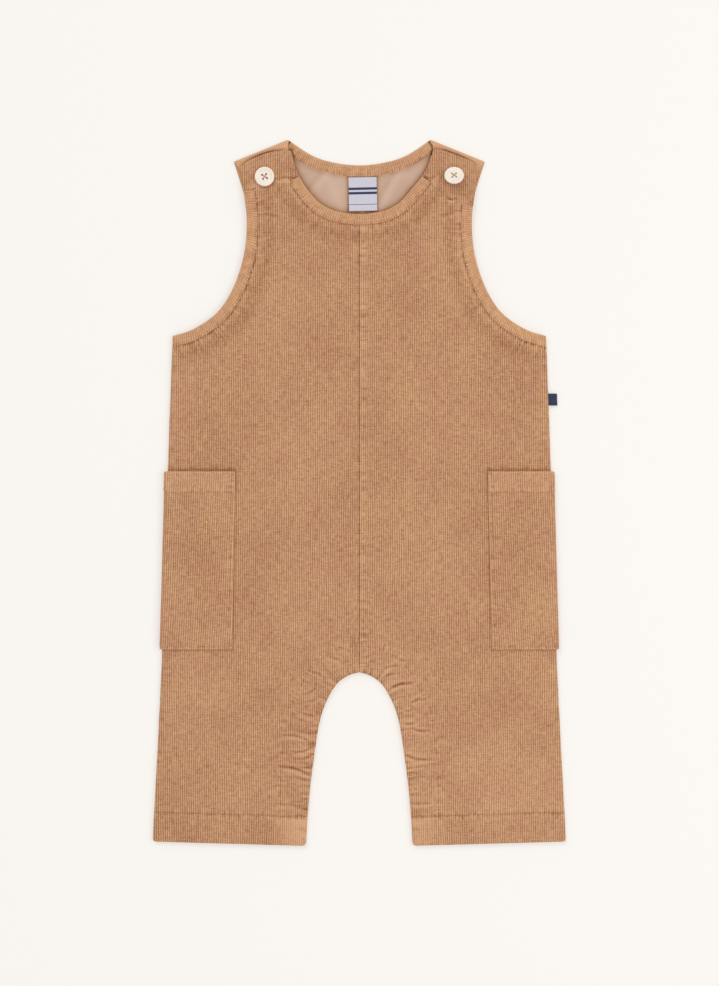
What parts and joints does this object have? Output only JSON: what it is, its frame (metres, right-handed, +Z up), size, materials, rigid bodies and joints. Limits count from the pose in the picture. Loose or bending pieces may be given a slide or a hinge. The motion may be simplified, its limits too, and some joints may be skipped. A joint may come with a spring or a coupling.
{
  "type": "baby jumpsuit",
  "caption": "Sleeveless baby jumpsuit in fine corduroy with buttoned shoulder straps and wrap-round side patch pockets, laid flat.",
  "frame": {"origin": "middle of the garment's box at its underside, where it rests on the surface", "axes": "+Z up through the layers, back to front; +Y along the garment from the leg hems to the neck; +X to the viewer's right looking down on the front"},
  "size_m": [0.3168, 0.5412, 0.0135],
  "materials": {
    "corduroy": "matte sheared cotton pile in narrow wales, soft sheen across the ribs",
    "corduroy_trim": "the same corduroy cut across, wales running across each band",
    "corduroy_pocket": "matte cotton corduroy, wales along the garment",
    "lining": "plain cotton poplin, smooth and matte",
    "neck_label": "satin-woven tape, slight gloss",
    "side_label": "woven tape, matte",
    "button": "polished ivory resin with a soft edge"
  },
  "bodies": {
    "root": {"front_left": "corduroy", "front_right": "corduroy", "back_left": "corduroy", "back_right": "corduroy", "front_neck_band": "corduroy_trim", "back_neck_band": "corduroy_trim", "armhole_band_front_left": "corduroy_trim", "armhole_band_front_right": "corduroy_trim", "armhole_band_back_left": "corduroy_trim", "armhole_band_back_right": "corduroy_trim", "back_lining": "lining", "neck_label": "neck_label", "side_label": "side_label", "pocket_left": "corduroy_pocket", "pocket_right": "corduroy_pocket", "button_left": "button", "button_right": "button"}
  },
  "joints": []
}
